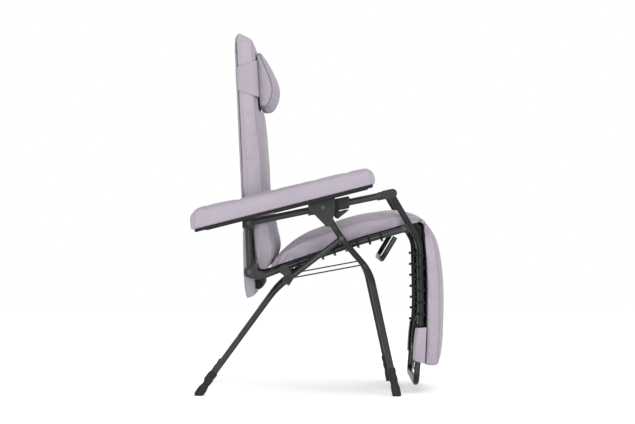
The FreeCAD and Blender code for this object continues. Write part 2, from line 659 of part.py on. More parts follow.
def make_arms():
    rear, front = point("arm_rear"), point("arm_front")
    recess = "Sizes.bolt_shaft + 2 * Sizes.arm_slip + 0.8"
    axis = [beyond(front, rear, -12), beyond(rear, front, -17)]
    hinge, board_drop = point("lever_pivot"), size("arm_board")
    for side, sign in SIDES.items():
        across = side_value(sign, "arm_across")
        keep(f"arm_tube_{side}", side_tube(f"arm_tube_{side}", axis, "Sizes.arm_tube", across))
        block = new_body(f"arm_end_block_{side}")
        slab(block, [(-242, 537, 6), (-242, 573.5, 6), (-203, 573.5, 5), (-203, 537, 5)], "arm_block", sign)
        bore(block, rear, "Sizes.bolt_shaft + Sizes.running_gap", "arm_block", sign)
        pipe(block, side_path(block, axis, across), "Sizes.arm_tube", "", "PartDesign::SubtractivePipe")
        keep(f"arm_end_block_{side}", block)
        knuckle = new_body(f"arm_knuckle_{side}")
        slab(knuckle, [arm_line(208, 14), (*arm_line(256, 15), 14.5), (*arm_line(256, -15), 14.5),
                       arm_line(208, -14)], "arm_knuckle", sign)
        pipe(knuckle, side_path(knuckle, axis, across), "Sizes.arm_tube", "", "PartDesign::SubtractivePipe")
        bore(knuckle, front, recess, "knuckle_recess", sign)
        keep(f"arm_knuckle_{side}", knuckle)
        keep(f"arm_carrier_{side}", carrier(side, sign))
        lever = new_body(f"lock_lever_{side}")
        slab(lever, [(hinge[0] - 6, hinge[1] + 6, 5.9), (hinge[0] + 4, 590.6, 3), (100, 599.3, 2),
                     (101, 596, 2), (70, 571, 3), (64, 566, 3), (hinge[0] - 6, hinge[1] - 6, 5.9)],
             "lever", sign)
        bore(lever, hinge, "Sizes.stud_shaft + Sizes.running_gap", "lever", sign)
        keep(f"lock_lever_{side}", lever)
        board = new_body(f"arm_board_{side}")
        slab(board, [(*pad_line(-390, board_drop), 3), (*pad_line(176, board_drop), 3), pad_line(176),
                     pad_line(-390)], "board", sign)
        keep(f"arm_board_{side}", board)
        pad = new_body(f"arm_pad_{side}")
        slab(pad, [(*pad_line(-409), 16), (*pad_line(184), 6), (184, 732, 20), (-411, 587.4, 20)],
             "pad", sign)
        keep(f"arm_pad_{side}", pad)


def carrier(side, sign):
    """Moulded housing on the leg top: cheek outside the leg, saddle over the arm tube and lock sleeve."""
    body = new_body(f"arm_carrier_{side}")
    board, play = size("arm_board"), size("arm_slip") + 0.4
    roof = size("arm_tube") / 2 + play
    top = [pad_line(-30, board + 0.5), pad_line(56, board + 0.5)]
    slab(body, [arm_line(-30, roof), arm_line(56, roof), pad_line(56, board), pad_line(-30, board)],
         "carrier_top", sign)
    slab(body, top + [arm_line(56, -17), arm_line(-30, -17)], "carrier_wall", sign)
    slab(body, top + [arm_line(56, -17), (40, 580, 6), (2, 580, 10), arm_line(-30, -14)],
         "carrier_core", sign)
    slab(body, top + [(56, 600, 8), (50, 566, 20), (47, 543, 8), (28, 543, 8), (-30, 602, 4)],
         "carrier_cheek", sign)
    arm = point("arm_pivot")
    loose = "Sizes.bolt_shaft + Sizes.running_gap"
    bore(body, arm, loose, "carrier_cheek", sign)
    bore(body, arm, loose, "carrier_core", sign)
    outer = roof + 2.8
    slab(body, [(*arm_line(50, -outer), 3), (*arm_line(103, -outer), 5), (*arm_line(103, outer), 5),
                (*arm_line(50, outer), 3)], "lock_sleeve", sign)
    pocket(body, [arm_line(40, -roof), arm_line(110, -roof), arm_line(110, roof), arm_line(40, roof)],
           "sleeve_channel", sign)
    hinge = point("lever_pivot")
    for word in ("sleeve_ear_inner", "sleeve_ear_outer"):
        slab(body, [(hinge[0] - 7, 596), (hinge[0] + 7, 598), (hinge[0] + 7, hinge[1] - 7, 6.5),
                    (hinge[0] - 7, hinge[1] - 7, 6.5)], word, sign)
    disc(body, hinge, "Sizes.stud_shaft", "lever_pin", sign)
    return body


make_legs()
make_rods()
make_seat()
make_back()
make_headrest()
make_leg_rest()
make_arms()
doc.recompute()

# ---------------------------------------------------------------- checks and files

for item in doc.Objects:
    if "Invalid" in item.State or "Error" in item.State:
        raise RuntimeError(f"{item.Label}: {item.State}")
for name, item in nodes.items():
    shape = item.Shape
    if shape.isNull() or not shape.isValid() or shape.Volume <= 0:
        raise RuntimeError(f"{name}: the shape isn't sound")
    shape.exportStep(f"parts/{name}.step")
    print(f"{name:24s} {len(shape.Solids)} solid(s) {shape.Volume / 1000:10.1f} cm3")
print(len(nodes), "nodes")
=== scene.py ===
"""Folding recliner chair: soft goods, materials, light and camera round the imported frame.

Side positions are (forward, up) in millimetres, as the sitter sees it: forward is -Y, across is X.
"""
import json
from math import cos, hypot, pi, radians, sin

import bmesh
import bpy
import numpy as np
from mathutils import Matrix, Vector
from mathutils.kdtree import KDTree


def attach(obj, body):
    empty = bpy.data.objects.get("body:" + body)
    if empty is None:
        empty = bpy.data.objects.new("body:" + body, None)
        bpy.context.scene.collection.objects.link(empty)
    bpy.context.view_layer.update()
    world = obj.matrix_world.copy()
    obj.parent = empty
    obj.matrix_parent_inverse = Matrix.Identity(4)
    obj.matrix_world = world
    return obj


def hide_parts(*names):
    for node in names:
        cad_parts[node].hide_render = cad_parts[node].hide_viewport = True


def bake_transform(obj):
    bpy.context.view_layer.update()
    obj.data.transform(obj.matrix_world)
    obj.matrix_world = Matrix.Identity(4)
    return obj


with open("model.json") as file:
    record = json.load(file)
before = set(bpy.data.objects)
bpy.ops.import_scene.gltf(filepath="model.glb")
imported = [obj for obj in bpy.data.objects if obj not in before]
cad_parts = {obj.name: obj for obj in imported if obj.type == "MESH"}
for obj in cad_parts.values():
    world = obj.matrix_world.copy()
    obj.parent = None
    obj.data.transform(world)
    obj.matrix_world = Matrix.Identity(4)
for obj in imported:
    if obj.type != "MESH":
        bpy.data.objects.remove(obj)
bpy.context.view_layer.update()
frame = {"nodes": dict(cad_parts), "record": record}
scene = bpy.context.scene

MM = 0.001


# ---------------------------------------------------------------- meshes

def new_mesh(name, points, faces, uvs=None):
    """A smooth mesh object from points in millimetres (across, forward, up)."""
    mesh = bpy.data.meshes.new(name)
    world = np.array(points, float) * MM
    world[:, 1] *= -1
    mesh.from_pydata(world.tolist(), [], [tuple(int(i) for i in face) for face in faces])
    mesh.validate()
    made = bmesh.new()
    made.from_mesh(mesh)
    bmesh.ops.recalc_face_normals(made, faces=made.faces)
    made.to_mesh(mesh)
    made.free()
    if uvs is not None:
        layer = mesh.uv_layers.new(name="cloth")
        spots = np.array([uvs[loop.vertex_index] for loop in mesh.loops], np.float32) * MM
        layer.data.foreach_set("uv", spots.ravel())
    mesh.polygons.foreach_set("use_smooth", np.ones(len(mesh.polygons), bool))
    item = bpy.data.objects.new(name, mesh)
    scene.collection.objects.link(item)
    return item


def get_points(item):
    """The object's points in millimetres (across, forward, up)."""
    points = np.zeros(len(item.data.vertices) * 3, np.float32)
    item.data.vertices.foreach_get("co", points)
    points = points.reshape(-1, 3).astype(float) / MM
    points[:, 1] *= -1
    return points


def set_points(item, points):
    world = np.array(points, float) * MM
    world[:, 1] *= -1
    item.data.vertices.foreach_set("co", world.astype(np.float32).ravel())
    item.data.update()


def get_normals(item):
    normals = np.zeros(len(item.data.vertices) * 3, np.float32)
    item.data.vertices.foreach_get("normal", normals)
    normals = normals.reshape(-1, 3).astype(float)
    normals[:, 1] *= -1
    return normals


def curve_through(table, shares):
    """Rows of the table, joined by a smooth curve and read at shares from 0 to 1 of its run."""
    table = np.array(table, float)
    steps = np.maximum(np.linalg.norm(np.diff(table[:, :4], axis=0), axis=1), 1e-6)
    run = np.concatenate([[0], np.cumsum(steps)])
    run /= run[-1]
    slopes = np.gradient(table, run, axis=0)
    spot = np.clip(np.searchsorted(run, shares, side="right") - 1, 0, len(run) - 2)
    gap = (run[spot + 1] - run[spot])[:, None]
    t = ((shares - run[spot]) / (run[spot + 1] - run[spot]))[:, None]
    return ((2 * t**3 - 3 * t**2 + 1) * table[spot] + (t**3 - 2 * t**2 + t) * gap * slopes[spot]
            + (3 * t**2 - 2 * t**3) * table[spot + 1] + (t**3 - t**2) * gap * slopes[spot + 1])


def eased(count, pull=0.6):
    """Shares from 0 to 1, closer together at both ends."""
    even = np.linspace(0, 1, count + 1)
    return even * (1 - pull) + (1 - np.cos(pi * even)) / 2 * pull


def box_grid(counts):
    """Grid indices of the points on a box's surface, and its quads."""
    index, quads = {}, []

    def at(*spot):
        return index.setdefault(spot, len(index))

    for axis in range(3):
        a, b = [k for k in range(3) if k != axis]
        for end in (0, counts[axis]):
            for i in range(counts[a]):
                for j in range(counts[b]):
                    quad = []
                    for di, dj in ((0, 0), (1, 0), (1, 1), (0, 1)):
                        spot = [0, 0, 0]
                        spot[axis], spot[a], spot[b] = end, i + di, j + dj
                        quad.append(at(*spot))
                    quads.append(quad)
    return np.array(list(index)), quads


# Columns of a pad's table: the side places of its lower and upper side, half its width, how far the
# upper side is crowned, how far its sides bulge, and how far they are pinched up to the upper side.
LOWER, UPPER = slice(0, 2), slice(2, 4)
HALF, CROWN, BULGE, PINCH = 4, 5, 6, 7

GRID_PULL = (0.25, 0.5, 0.6)  # how far grid lines crowd to the ends of the length, width and depth
ROUNDEST = 0.48  # the largest edge radius, as a share of the pad's smallest side


class Pad:
    """A stuffed cover that spans the chair. u runs along the rows of its table, v across the chair and w
    from the lower to the upper side; counts are its grid's cells along them."""

    def __init__(self, name, table, counts, radius, middle=0.0, crown_power=3.0, inset=0.0):
        self.table, self.counts, self.radius = np.array(table, float), counts, radius
        self.middle, self.crown_power, self.inset = middle, crown_power, inset
        self.grid, quads = box_grid(counts)
        shares = [eased(count, pull) for count, pull in zip(counts, GRID_PULL)]
        uvw = np.stack([shares[k][self.grid[:, k]] for k in range(3)], 1)
        self.item = new_mesh(name, self.shape(uvw), quads, self.flat(uvw))

    def length(self):
        mid = (self.table[:, LOWER] + self.table[:, UPPER]) / 2
        return float(np.linalg.norm(np.diff(mid, axis=0), axis=1).sum())

    def flat(self, uvw):
        """Places on the flat cover, for its weave."""
        rows = curve_through(self.table, uvw[:, 0])
        deep = np.linalg.norm(rows[:, UPPER] - rows[:, LOWER], axis=1)
        across = (uvw[:, 1] * 2 - 1) * rows[:, HALF] + uvw[:, 2] * deep
        return np.stack([uvw[:, 0] * self.length(), across], 1)

    def shape(self, uvw):
        """Points of the cover, in millimetres (across, forward, up)."""
        length = self.length()
        rows = curve_through(self.table, uvw[:, 0])
        deep = np.linalg.norm(rows[:, UPPER] - rows[:, LOWER], axis=1)
        size = np.stack([np.full(len(uvw), length), 2 * rows[:, HALF], deep], 1)
        spot = uvw * size
        soft = np.minimum(self.radius, size * ROUNDEST).min(1)[:, None]
        core = np.clip(spot, soft, size - soft)
        off = spot - core
        far = np.linalg.norm(off, axis=1, keepdims=True)
        spot = np.where(far > 1e-6, core + off / np.maximum(far, 1e-6) * soft, spot)
        u, v, w = (spot / size).T
        side = v * 2 - 1
        u = u + self.inset / length * np.abs(side) ** 6 * (1 - 2 * u)
        rows = curve_through(self.table, np.clip(u, 0, 1))
        w = w + rows[:, PINCH] * np.abs(side) ** 5 * (1 - w)
        run = rows[:, UPPER] - rows[:, LOWER]
        up = run / np.linalg.norm(run, axis=1, keepdims=True)
        rise = rows[:, CROWN] * (1 - np.abs(side) ** self.crown_power) * w
        flat = rows[:, LOWER] + run * w[:, None] + up * rise[:, None]
        across = side * (rows[:, HALF] + rows[:, BULGE] * np.sin(pi * np.clip(w, 0, 1)))
        return np.stack([across + self.middle, flat[:, 0], flat[:, 1]], 1)

    def row(self, **fixed):
        """Indices of the points along one grid line, in order; fixed gives two of u, v and w."""
        keep = np.ones(len(self.grid), bool)
        for axis, key in enumerate("uvw"):
            if key in fixed:
                keep &= self.grid[:, axis] == fixed[key]
            else:
                order = axis
        found = np.flatnonzero(keep)
        return found[np.argsort(self.grid[found, order])]

    def line(self, **fixed):
        """The points along one grid line, in order."""
        return get_points(self.item)[self.row(**fixed)]

    def belt(self, i):
        """The line round the cover at grid index i of its length, but for its lower side."""
        nv, nw = self.counts[1:]
        points = get_points(self.item)
        rows = [self.row(u=i, v=0), self.row(u=i, w=nw), self.row(u=i, v=nv)[::-1]]
        return points[np.concatenate(rows)]

    def arch(self, j):
        """The line along the cover at grid index j of its width, but for its lower side."""
        nu, nw = self.counts[0], self.counts[2]
        return np.vstack([self.line(u=0, v=j), self.line(v=j, w=nw), self.line(u=nu, v=j)[::-1]])

    def back_with(self, material):
        """Puts a second material on the lower side; called before refine(), so that it keeps its edge."""
        self.item.data.materials.append(material)
        low = self.grid[:, 2] == 0
        for face in self.item.data.polygons:
            if all(low[number] for number in face.vertices):
                face.material_index = 1

    def edges(self):
        """Indices of the points along each of the cover's twelve edges."""
        nu, nv, nw = self.counts
        ends = [(a, b) for a in (0, 1) for b in (0, 1)]
        rows = [self.row(v=a * nv, w=b * nw) for a, b in ends]
        rows += [self.row(u=a * nu, w=b * nw) for a, b in ends]
        return rows + [self.row(u=a * nu, v=b * nv) for a, b in ends]


BLOWING_FRAMES = 20


def inflate(pad, held, cap, pressure=4.0, slack=0.02):
    """Blows a cover up over its filling. held is each point's pin, no point moves further than cap, and
    slack is how much larger the cover is cut."""
    item = pad.item
    group = item.vertex_groups.new(name="sewn")
    for level in np.unique(held[held > 0]):
        group.add([int(i) for i in np.flatnonzero(held == level)], float(level), "REPLACE")
    before = get_points(item)
    cloth = item.modifiers.new("Cloth", "CLOTH")
    rules = cloth.settings
    rules.quality = 5
    rules.mass = 0.25
    rules.tension_stiffness = rules.compression_stiffness = 20
    rules.shear_stiffness = 8
    rules.bending_stiffness = 0.6
    rules.use_pressure = True
    rules.uniform_pressure_force = pressure
    rules.vertex_group_mass = group.name
    rules.shrink_min = -slack
    rules.effector_weights.gravity = 0
    cloth.collision_settings.use_collision = False
    cloth.point_cache.frame_start, cloth.point_cache.frame_end = 1, BLOWING_FRAMES
    for frame_number in range(1, BLOWING_FRAMES + 1):
        scene.frame_set(frame_number)
    blown = get_points(item.evaluated_get(bpy.context.evaluated_depsgraph_get()))
    item.modifiers.remove(cloth)
    scene.frame_set(1)
    move = blown - before
    far = np.maximum(np.linalg.norm(move, axis=1, keepdims=True), 1e-9)
    set_points(item, before + move / far * cap * np.tanh(far / cap))


def refine(item, levels=1):
    """Smooth subdivision, applied to the mesh."""
    modifier = item.modifiers.new("Refine", "SUBSURF")
    modifier.levels = modifier.render_levels = levels
    apply_modifiers(item)


def apply_modifiers(item):
    bpy.context.view_layer.update()
    seen = item.evaluated_get(bpy.context.evaluated_depsgraph_get())
    mesh = bpy.data.meshes.new_from_object(seen)
    item.modifiers.clear()
    old, item.data = item.data, mesh
    bpy.data.meshes.remove(old)
    item.data.polygons.foreach_set("use_smooth", np.ones(len(item.data.polygons), bool))


def even_line(points, step, closed=False):
    """The line's points spaced evenly, about step apart."""
    points = np.array(points, float)
    if closed:
        points = np.vstack([points, points[:1]])
    run = np.concatenate([[0], np.cumsum(np.linalg.norm(np.diff(points, axis=0), axis=1))])
    count = max(2, int(round(run[-1] / step)) + 1)
    spots = np.linspace(0, run[-1], count)
    line = np.stack([np.interp(spots, run, points[:, k]) for k in range(3)], 1)
    return line[:-1] if closed else line


def nearest(item, line):
    """The points of the item's surface nearest to the line, with their normals."""
    found = []
    for point in line:
        spot = Vector((point[0] * MM, -point[1] * MM, point[2] * MM))
        _, place, normal, _ = item.closest_point_on_mesh(spot)
        found.append(((place.x / MM, -place.y / MM, place.z / MM), (normal.x, -normal.y, normal.z)))
    return np.array([f[0] for f in found]), np.array([f[1] for f in found])


def press(item, line, depth, width):
    """A groove along a line: points near it move inwards by depth, or outwards where depth is below 0."""
    tree = KDTree(len(line))
    for number, point in enumerate(line):
        tree.insert(Vector(point), number)
    tree.balance()
    points, normals = get_points(item), get_normals(item)
    gaps = np.array([tree.find(Vector(point))[2] for point in points])
    push = depth * np.exp(-(gaps / width) ** 2)
    set_points(item, points - normals * push[:, None])


def crease(item, start, end, depth, width):
    """A fold that runs from start to end and fades at both."""
    start, end = np.array(start, float), np.array(end, float)
    points, normals = get_points(item), get_normals(item)
    run = end - start
    share = np.clip((points - start) @ run / (run @ run), 0, 1)
    gaps = np.linalg.norm(points - start - share[:, None] * run, axis=1)
    push = depth * np.exp(-(gaps / width) ** 2) * np.sin(pi * np.clip(share, 0.08, 0.92)) ** 0.7
    set_points(item, points - normals * push[:, None])


def draw_in(item, heights, half, ends, places):
    """Draws a cover in between two heights: its sides to half the width, and its front behind a wall that
    goes through the forward places at the heights called ends."""
    points = get_points(item)
    held = (points[:, 2] > heights[0]) & (points[:, 2] < heights[1])
    wall = np.interp(points[:, 2], ends, places)
    points[held, 0] = np.clip(points[held, 0], -half, half)
    points[held, 1] = np.minimum(points[held, 1], wall[held])
    set_points(item, points)


def tube_mesh(name, line, radius, closed=False, sides=10):
    """A round tube along a line of points; radius is one value or one for each point."""
    line = np.array(line, float)
    count = len(line)
    radii = np.broadcast_to(radius, count)
    ahead = np.roll(line, -1, 0) - np.roll(line, 1, 0)
    if not closed:
        ahead[0], ahead[-1] = line[1] - line[0], line[-1] - line[-2]
    ahead /= np.linalg.norm(ahead, axis=1, keepdims=True)
    side = np.cross(ahead[0], [0, 0, 1] if abs(ahead[0][2]) < 0.9 else [1, 0, 0])
    points, uvs, faces, run = [], [], [], 0.0
    turns = np.arange(sides) * 2 * pi / sides
    for number in range(count):
        side = side - ahead[number] * (side @ ahead[number])
        side /= np.linalg.norm(side)
        other = np.cross(ahead[number], side)
        run += np.linalg.norm(line[number] - line[number - 1]) if number else 0
        for turn in turns:
            points.append(line[number] + radii[number] * (side * cos(turn) + other * sin(turn)))
            uvs.append((run, turn * radii[number]))
    rings = count if closed else count - 1
    for a in range(rings):
        b = (a + 1) % count
        for k in range(sides):
            m = (k + 1) % sides
            faces.append((a * sides + k, a * sides + m, b * sides + m, b * sides + k))
    if not closed:
        faces.append(tuple(range(sides))[::-1])
        faces.append(tuple(range((count - 1) * sides, count * sides)))
    return new_mesh(name, points, faces, uvs)


def join(name, items):
    """One object from several."""
    made = bmesh.new()
    for item in items:
        made.from_mesh(item.data)
    mesh = bpy.data.meshes.new(name)
    made.to_mesh(mesh)
    made.free()
    for item in items:
        bpy.data.objects.remove(item)
    mesh.polygons.foreach_set("use_smooth", np.ones(len(mesh.polygons), bool))
    whole = bpy.data.objects.new(name, mesh)
    scene.collection.objects.link(whole)
    return whole


# Rings of one stitch: share of its length, width and height, both as shares of the thread's thickness
STITCH_RINGS = ((0.02, 0.3, -0.3), (0.15, 0.85, 0.2), (0.5, 1.0, 0.45), (0.85, 0.85, 0.2),
                (0.98, 0.3, -0.3))


def stitches(name, item, lines, long=4.2, gap=2.2, thick=0.55, lift=0.25, sides=6):
    """Rows of single stitches that lie on the item's surface, along lines."""
    points, faces = [], []
    for line in lines:
        spots, normals = nearest(item, even_line(line, long + gap))
        for number in range(len(spots) - 1):
            run = spots[number + 1] - spots[number]
            ahead = run / max(np.linalg.norm(run), 1e-9)
            up = normals[number]
            across = np.cross(ahead, up)
            base = len(points)
            for share, wide, high in STITCH_RINGS:
                middle = spots[number] + ahead * share * long + up * (lift + high * thick)
                for k in range(sides):
                    turn = 2 * pi * k / sides
                    points.append(middle + thick * wide * (across * cos(turn) + up * sin(turn)))
            for ring in range(len(STITCH_RINGS) - 1):
                for k in range(sides):
                    m = (k + 1) % sides
                    low, high = base + ring * sides, base + (ring + 1) * sides
                    faces.append((low + k, low + m, high + m, high + k))
            faces.append(tuple(base + k for k in range(sides))[::-1])
            top = base + (len(STITCH_RINGS) - 1) * sides
            faces.append(tuple(top + k for k in range(sides)))
    return new_mesh(name, points, faces)


def ribbon_mesh(name, path, half, thick, counts, wave=None):
    """A flat sheet along a side path (forward, up), spanning the chair. Its edges are a little thinner and
    round. wave(share of the path) gives an offset square to the sheet."""
    path = np.array(path, float)
    line = even_line(np.column_stack([np.zeros(len(path)), path]), 1.0)[:, 1:]
    spots = np.linspace(0, len(line) - 1, counts[0] + 1).round().astype(int)
    ahead = np.gradient(line, axis=0)[spots]
    ahead /= np.linalg.norm(ahead, axis=1, keepdims=True)
    normal = np.stack([-ahead[:, 1], ahead[:, 0]], 1)
    line = line[spots]
    run = np.concatenate([[0], np.cumsum(np.linalg.norm(np.diff(line, axis=0), axis=1))])
    grid, quads = box_grid((counts[0], counts[1], 2))
    shares = eased(counts[1], 0.5)
    points, uvs = [], []
    for i, j, k in grid:
        across = (shares[j] * 2 - 1) * half
        offset = wave(i / counts[0]) if wave else 0.0
        edge = i in (0, counts[0]) or j in (0, counts[1])
        level = (k - 1) * thick / 2 * (0.7 if edge else 1.0)
        grow = thick / 4 if k == 1 and j in (0, counts[1]) else 0.0
        place = line[i] + normal[i] * (level + offset)
        points.append((across + grow * np.sign(across), place[0], place[1]))
        uvs.append((run[i], across))
    return new_mesh(name, points, quads, uvs)


# ---------------------------------------------------------------- materials

def node_tools(name):
    material = bpy.data.materials.new(name)
    material.use_nodes = True
    tree = material.node_tree
    shader = tree.nodes["Principled BSDF"]

    def add(kind, inputs=None, **settings):
        node = tree.nodes.new(kind)
        for key, value in settings.items():
            setattr(node, key, value)
        for key, value in (inputs or {}).items():
            if isinstance(value, bpy.types.NodeSocket):
                tree.links.new(value, node.inputs[key])
            else:
                node.inputs[key].default_value = value
        return node

    def link(start, key):
        tree.links.new(start, shader.inputs[key])

    return material, shader, add, link


def srgb(red, green, blue):
    """Linear colour with alpha from values of 11 to 255."""
    return (*(((c / 255 + 0.055) / 1.055) ** 2.4 for c in (red, green, blue)), 1.0)


# Numbers of inputs that share a name or have none
MIX_FROM, MIX_TO = 6, 7
FROM_MIN, FROM_MAX, TO_MIN, TO_MAX = 1, 2, 3, 4

SHARPNESS_WEAR_AND_SHEEN = (0.515, 0.6)  # Pointiness where the lighter edge colour (painted sheen on the leatherette, wear on the hard parts) starts, and where it is full
MOST_WEAR_AND_SHEEN = 0.55  # share of the lighter edge colour (painted sheen on the leatherette, wear on the hard parts) at the sharpest edges


def surface(name, dark, light, tone_scale, rough, bumps, place="Object", edge_wear_and_sheen=None, **sockets):
    """A material whose tone and roughness wander between two values, with an optional lighter colour on
    sharp edges, which is painted sheen on the leatherette and wear on the hard parts; bumps are (kind, scale,
    strength, depth)."""
    material, shader, add, link = node_tools(name)
    spot = add("ShaderNodeTexCoord").outputs[place]

    def mixed(share, start, end):
        inputs = {"Factor": share, MIX_FROM: start, MIX_TO: end}
        return add("ShaderNodeMix", inputs, data_type="RGBA").outputs[2]

    def mapped(value, start, end):
        inputs = {"Value": value, FROM_MIN: start[0], FROM_MAX: start[1], TO_MIN: end[0], TO_MAX: end[1]}
        return add("ShaderNodeMapRange", inputs).outputs[0]

    def noise(scale, detail, **inputs):
        inputs.update(Vector=spot, Scale=scale, Detail=detail)
        return add("ShaderNodeTexNoise", inputs).outputs["Fac"]

    def bands(scale, direction):
        inputs = {"Vector": spot, "Scale": scale}
        return add("ShaderNodeTexWave", inputs, bands_direction=direction).outputs["Fac"]

    colour = mixed(noise(tone_scale, 5.0, Roughness=0.6), dark, light)
    # the lighter colour on sharp edges: painted sheen where light grazes the leatherette, wear on the dark
    # hard parts
    if edge_wear_and_sheen:
        ridge = add("ShaderNodeNewGeometry").outputs["Pointiness"]
        colour = mixed(mapped(ridge, SHARPNESS_WEAR_AND_SHEEN, (0.0, MOST_WEAR_AND_SHEEN)), colour, edge_wear_and_sheen)
    link(colour, "Base Color")
    link(mapped(noise(tone_scale * 4, 3.0), (0.3, 0.7), rough), "Roughness")
    normal = None
    for kind, scale, strength, depth in bumps:
        if kind == "cells":
            height = add("ShaderNodeTexVoronoi", {"Vector": spot, "Scale": scale, "Randomness": 0.9},
                         feature="SMOOTH_F1").outputs["Distance"]
        elif kind == "noise":
            height = noise(scale, 4.0)
        else:
            height = add("ShaderNodeMath", {0: bands(scale, "X"), 1: bands(scale, "Y")},
                         operation="MAXIMUM" if kind == "weave" else "MULTIPLY").outputs[0]
        inputs = {"Height": height, "Strength": strength, "Distance": depth}
        if normal:
            inputs["Normal"] = normal
        normal = add("ShaderNodeBump", inputs).outputs[0]
    if normal:
        link(normal, "Normal")
    for key, value in sockets.items():
        shader.inputs[key.replace("_", " ")].default_value = value
    return material


LEATHER_BUMPS = [("noise", 45, 0.12, 0.002), ("cells", 760, 0.3, 0.0004), ("noise", 2600, 0.12, 0.0002)]
# the greyer, lighter colour on the leatherettes' sharp edges is painted sheen from light grazing their crowns
leather = surface("leatherette", srgb(138, 130, 141), srgb(148, 140, 151), 5, (0.42, 0.54), LEATHER_BUMPS,
                  edge_wear_and_sheen=srgb(156, 151, 157), Sheen_Weight=0.12, Sheen_Roughness=0.45,
                  Sheen_Tint=srgb(190, 192, 191), Specular_IOR_Level=0.4)
cover_leather = surface("leatherette_sleeve", srgb(134, 127, 137), srgb(145, 137, 147), 6, (0.46, 0.58),
                        LEATHER_BUMPS, edge_wear_and_sheen=srgb(152, 148, 153), Sheen_Weight=0.12, Sheen_Roughness=0.5,
                        Sheen_Tint=srgb(186, 190, 188), Specular_IOR_Level=0.38)
seam_thread = surface("seam_thread", srgb(92, 86, 96), srgb(108, 102, 112), 60, (0.6, 0.75),
                      [("noise", 3000, 0.4, 0.0003)])
frame_paint = surface("frame_paint", srgb(15, 16, 17), srgb(22, 23, 24), 9, (0.26, 0.36),
                      [("noise", 1400, 0.1, 0.0002), ("cells", 600, 0.06, 0.0002)], edge_wear_and_sheen=srgb(60, 61, 62),
                      Specular_IOR_Level=0.18, Coat_Weight=0.1, Coat_Roughness=0.2)
bolt_steel = surface("bolt_steel", srgb(19, 20, 21), srgb(28, 29, 30), 40, (0.35, 0.5),
                     [("noise", 900, 0.15, 0.0002)], edge_wear_and_sheen=srgb(64, 66, 68), Specular_IOR_Level=0.3)
rod_steel = surface("rod_steel", srgb(34, 35, 37), srgb(46, 47, 49), 30, (0.32, 0.45),
                    [("noise", 1200, 0.12, 0.0002)], Metallic=0.5)
moulding = surface("moulding", srgb(17, 18, 19), srgb(25, 26, 27), 14, (0.42, 0.55),
                   [("cells", 900, 0.2, 0.0003), ("noise", 300, 0.08, 0.0004)], edge_wear_and_sheen=srgb(44, 46, 47),
                   Specular_IOR_Level=0.2)
foot_rubber = surface("foot_rubber", srgb(17, 17, 18), srgb(26, 26, 27), 20, (0.5, 0.65),
                      [("noise", 700, 0.3, 0.0004)], edge_wear_and_sheen=srgb(44, 44, 44), Specular_IOR_Level=0.28)
board_black = surface("board_black", srgb(18, 18, 19), srgb(27, 27, 28), 16, (0.65, 0.8),
                      [("noise", 1600, 0.5, 0.0004), ("noise", 220, 0.2, 0.0006)], Specular_IOR_Level=0.25)
mesh_fabric = surface("mesh_fabric", srgb(18, 18, 20), srgb(28, 28, 30), 30, (0.6, 0.75),
                      [("weave", 260, 0.9, 0.0006)], place="UV", Specular_IOR_Level=0.25, Sheen_Weight=0.08)
webbing = surface("webbing", srgb(17, 17, 19), srgb(27, 27, 29), 50, (0.55, 0.7),
                  [("twill", 320, 0.9, 0.0007)], place="UV", Specular_IOR_Level=0.25, Sheen_Weight=0.1)
cord_black = surface("cord_black", srgb(16, 16, 18), srgb(27, 27, 29), 60, (0.5, 0.65),
                     [("twill", 420, 0.8, 0.0005)], place="UV", Specular_IOR_Level=0.3)
buckle_plastic = surface("buckle_plastic", srgb(24, 24, 26), srgb(32, 32, 34), 20, (0.25, 0.35),
                         [("noise", 800, 0.06, 0.0002)], edge_wear_and_sheen=srgb(52, 52, 54))
eyelet_metal = surface("eyelet_metal", srgb(52, 52, 54), srgb(72, 72, 74), 40, (0.3, 0.42),
                       [("noise", 900, 0.1, 0.0002)], Metallic=0.8)

SLOT_MATERIALS = {
    "frame_paint": frame_paint, "bolt_steel": bolt_steel, "rod_steel": rod_steel, "moulding": moulding,
    "foot_rubber": foot_rubber, "board_black": board_black, "sling_fabric": mesh_fabric,
    "lace_cord": cord_black, "webbing": webbing, "buckle_plastic": buckle_plastic,
    "arm_leatherette": leather, "cover_leatherette": cover_leather, "cushion_leatherette": leather,
}
for part in frame["record"]["subparts"]:
    carried = frame["nodes"][part["node"]]
    carried.data.materials.clear()
    carried.data.materials.append(SLOT_MATERIALS[part["material_slot"]])


def dress(item, material):
    item.data.materials.clear()
    item.data.materials.append(material)
    return item


def pins(pad, faces, face_level=1.0):
    """Pin weights for inflate(): whole faces such as "w0", the lower side, and the cover's sewn edges."""
    held = np.zeros(len(pad.grid))
    ends = {f"{key}{end}": (axis, end * pad.counts[axis]) for axis, key in enumerate("uvw") for end in (0, 1)}
    for face in faces:
        axis, value = ends[face]
        held[pad.grid[:, axis] == value] = face_level
    for row in pad.edges():
        held[row] = 1.0
    return held


def sew(name, pad, lines, body=None, depth=1.4, width=3.0):
    """Presses seams into the pad along lines, with a row of stitches in each."""
    for line in lines:
        press(pad.item, even_line(line, 2.5), depth, width)
    thread = dress(stitches(name, pad.item, lines), seam_thread)
    if body:
        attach(thread, body)
    return thread


# ---------------------------------------------------------------- seat and leg cushion

